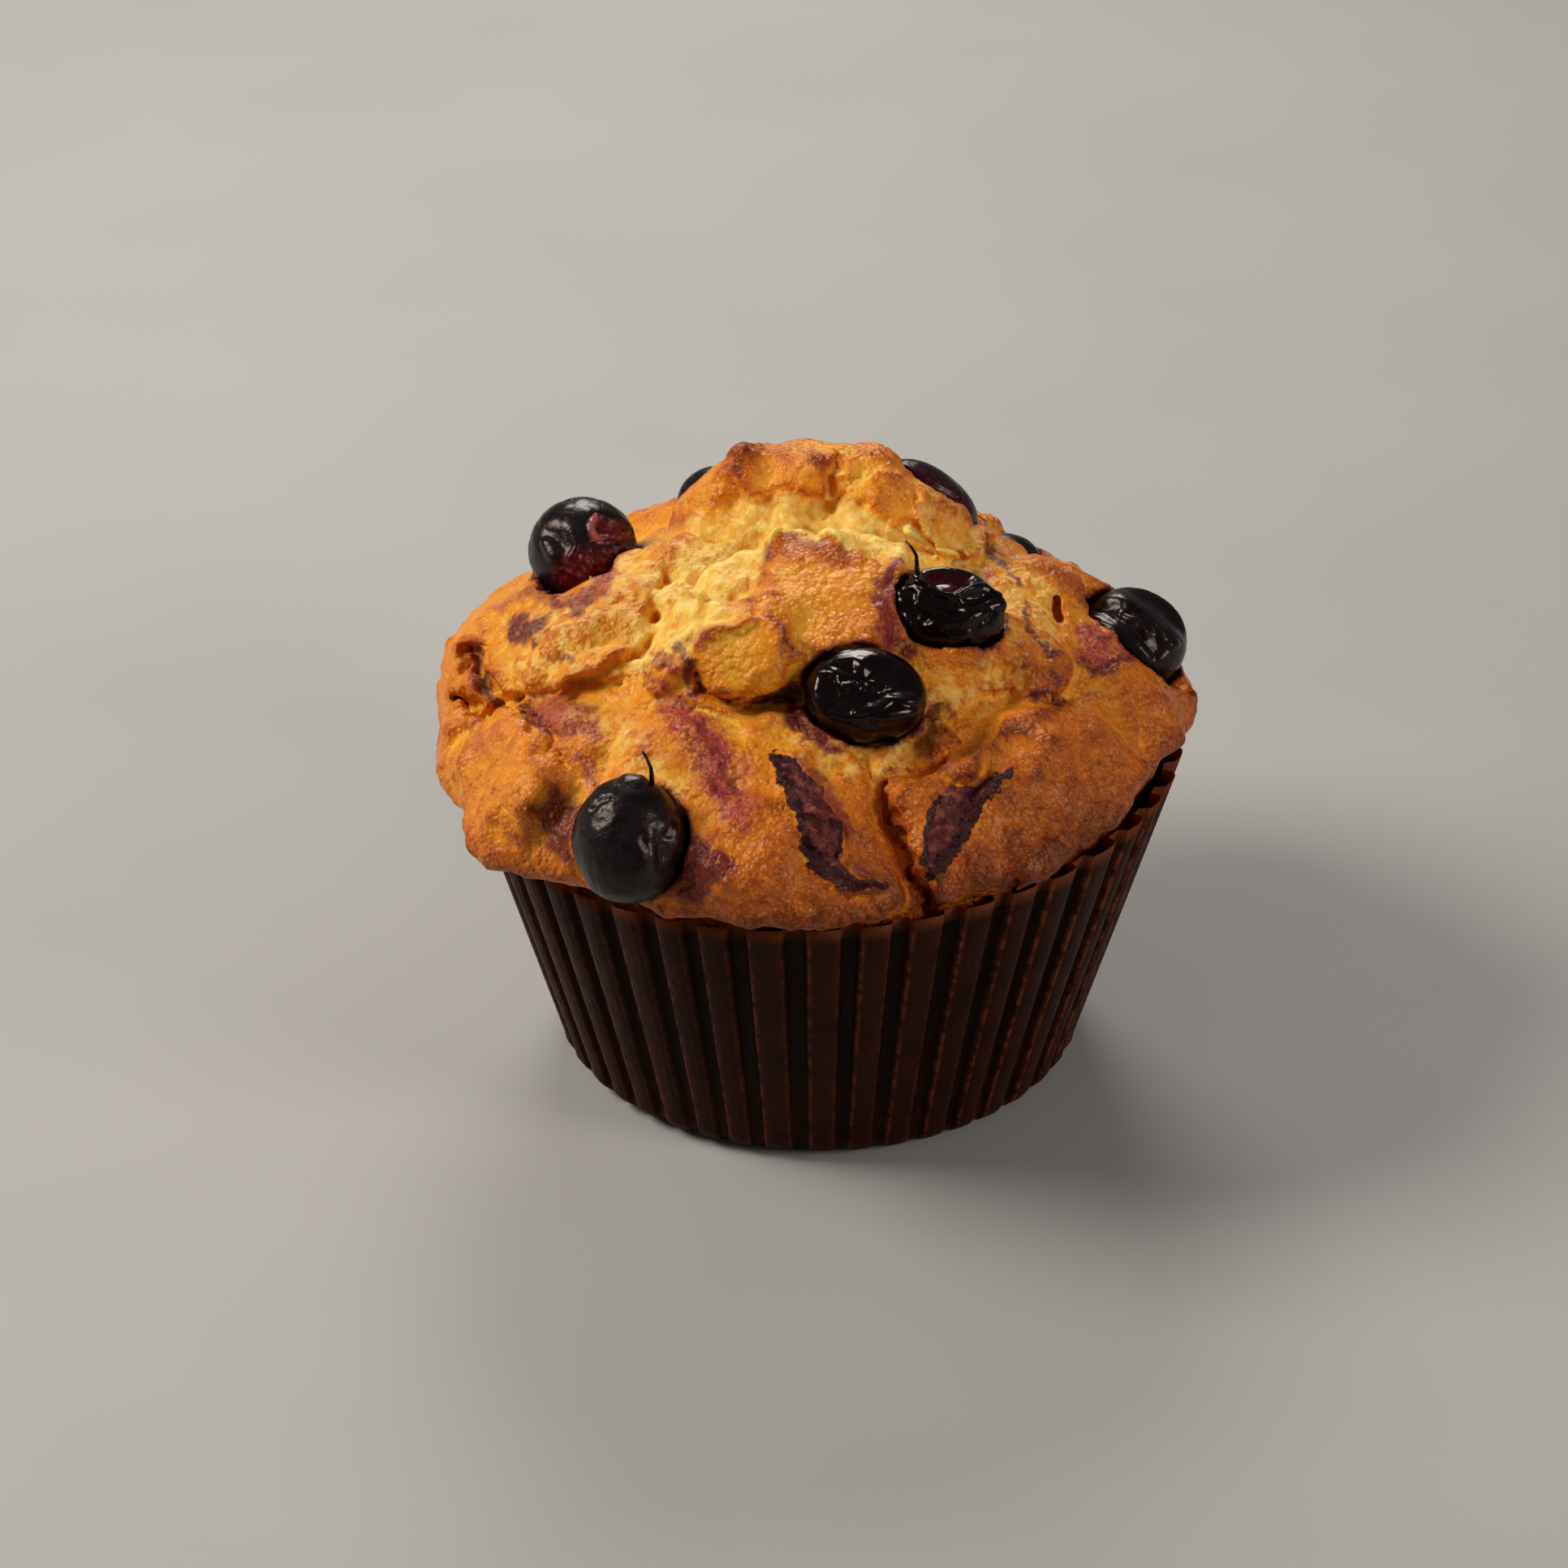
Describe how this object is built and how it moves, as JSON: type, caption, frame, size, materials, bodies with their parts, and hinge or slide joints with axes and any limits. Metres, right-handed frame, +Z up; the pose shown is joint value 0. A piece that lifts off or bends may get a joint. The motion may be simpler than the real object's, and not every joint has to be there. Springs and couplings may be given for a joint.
{
  "type": "muffin",
  "caption": "Domed berry muffin in a dark pleated paper case, with a cracked crust, a torn ridge on top and dark berries half sunk in it.",
  "frame": {"origin": "middle of the case's flat base, at the height of the surface that it stands on", "axes": "+Z up; +X to the right and +Y to the back, as the picture shows the muffin from the front"},
  "size_m": [0.0754, 0.0761, 0.0593],
  "materials": {
    "crust": "baked crust, golden brown, with pale yellow crumb where it has torn",
    "paper": "dark brown greaseproof paper, slightly waxy",
    "berry_skin": "cooked berry skin, nearly black, glossy and wrinkled"
  },
  "bodies": {
    "root": {"muffin": "crust", "paper_case": "paper", "berry_left_top": "berry_skin", "berry_front_left": "berry_skin", "berry_centre": "berry_skin", "berry_upper": "berry_skin", "berry_right": "berry_skin", "berry_top": "berry_skin", "berry_back_left": "berry_skin", "berry_back_right": "berry_skin", "berry_back_low": "berry_skin", "berry_back_side": "berry_skin"}
  },
  "joints": []
}
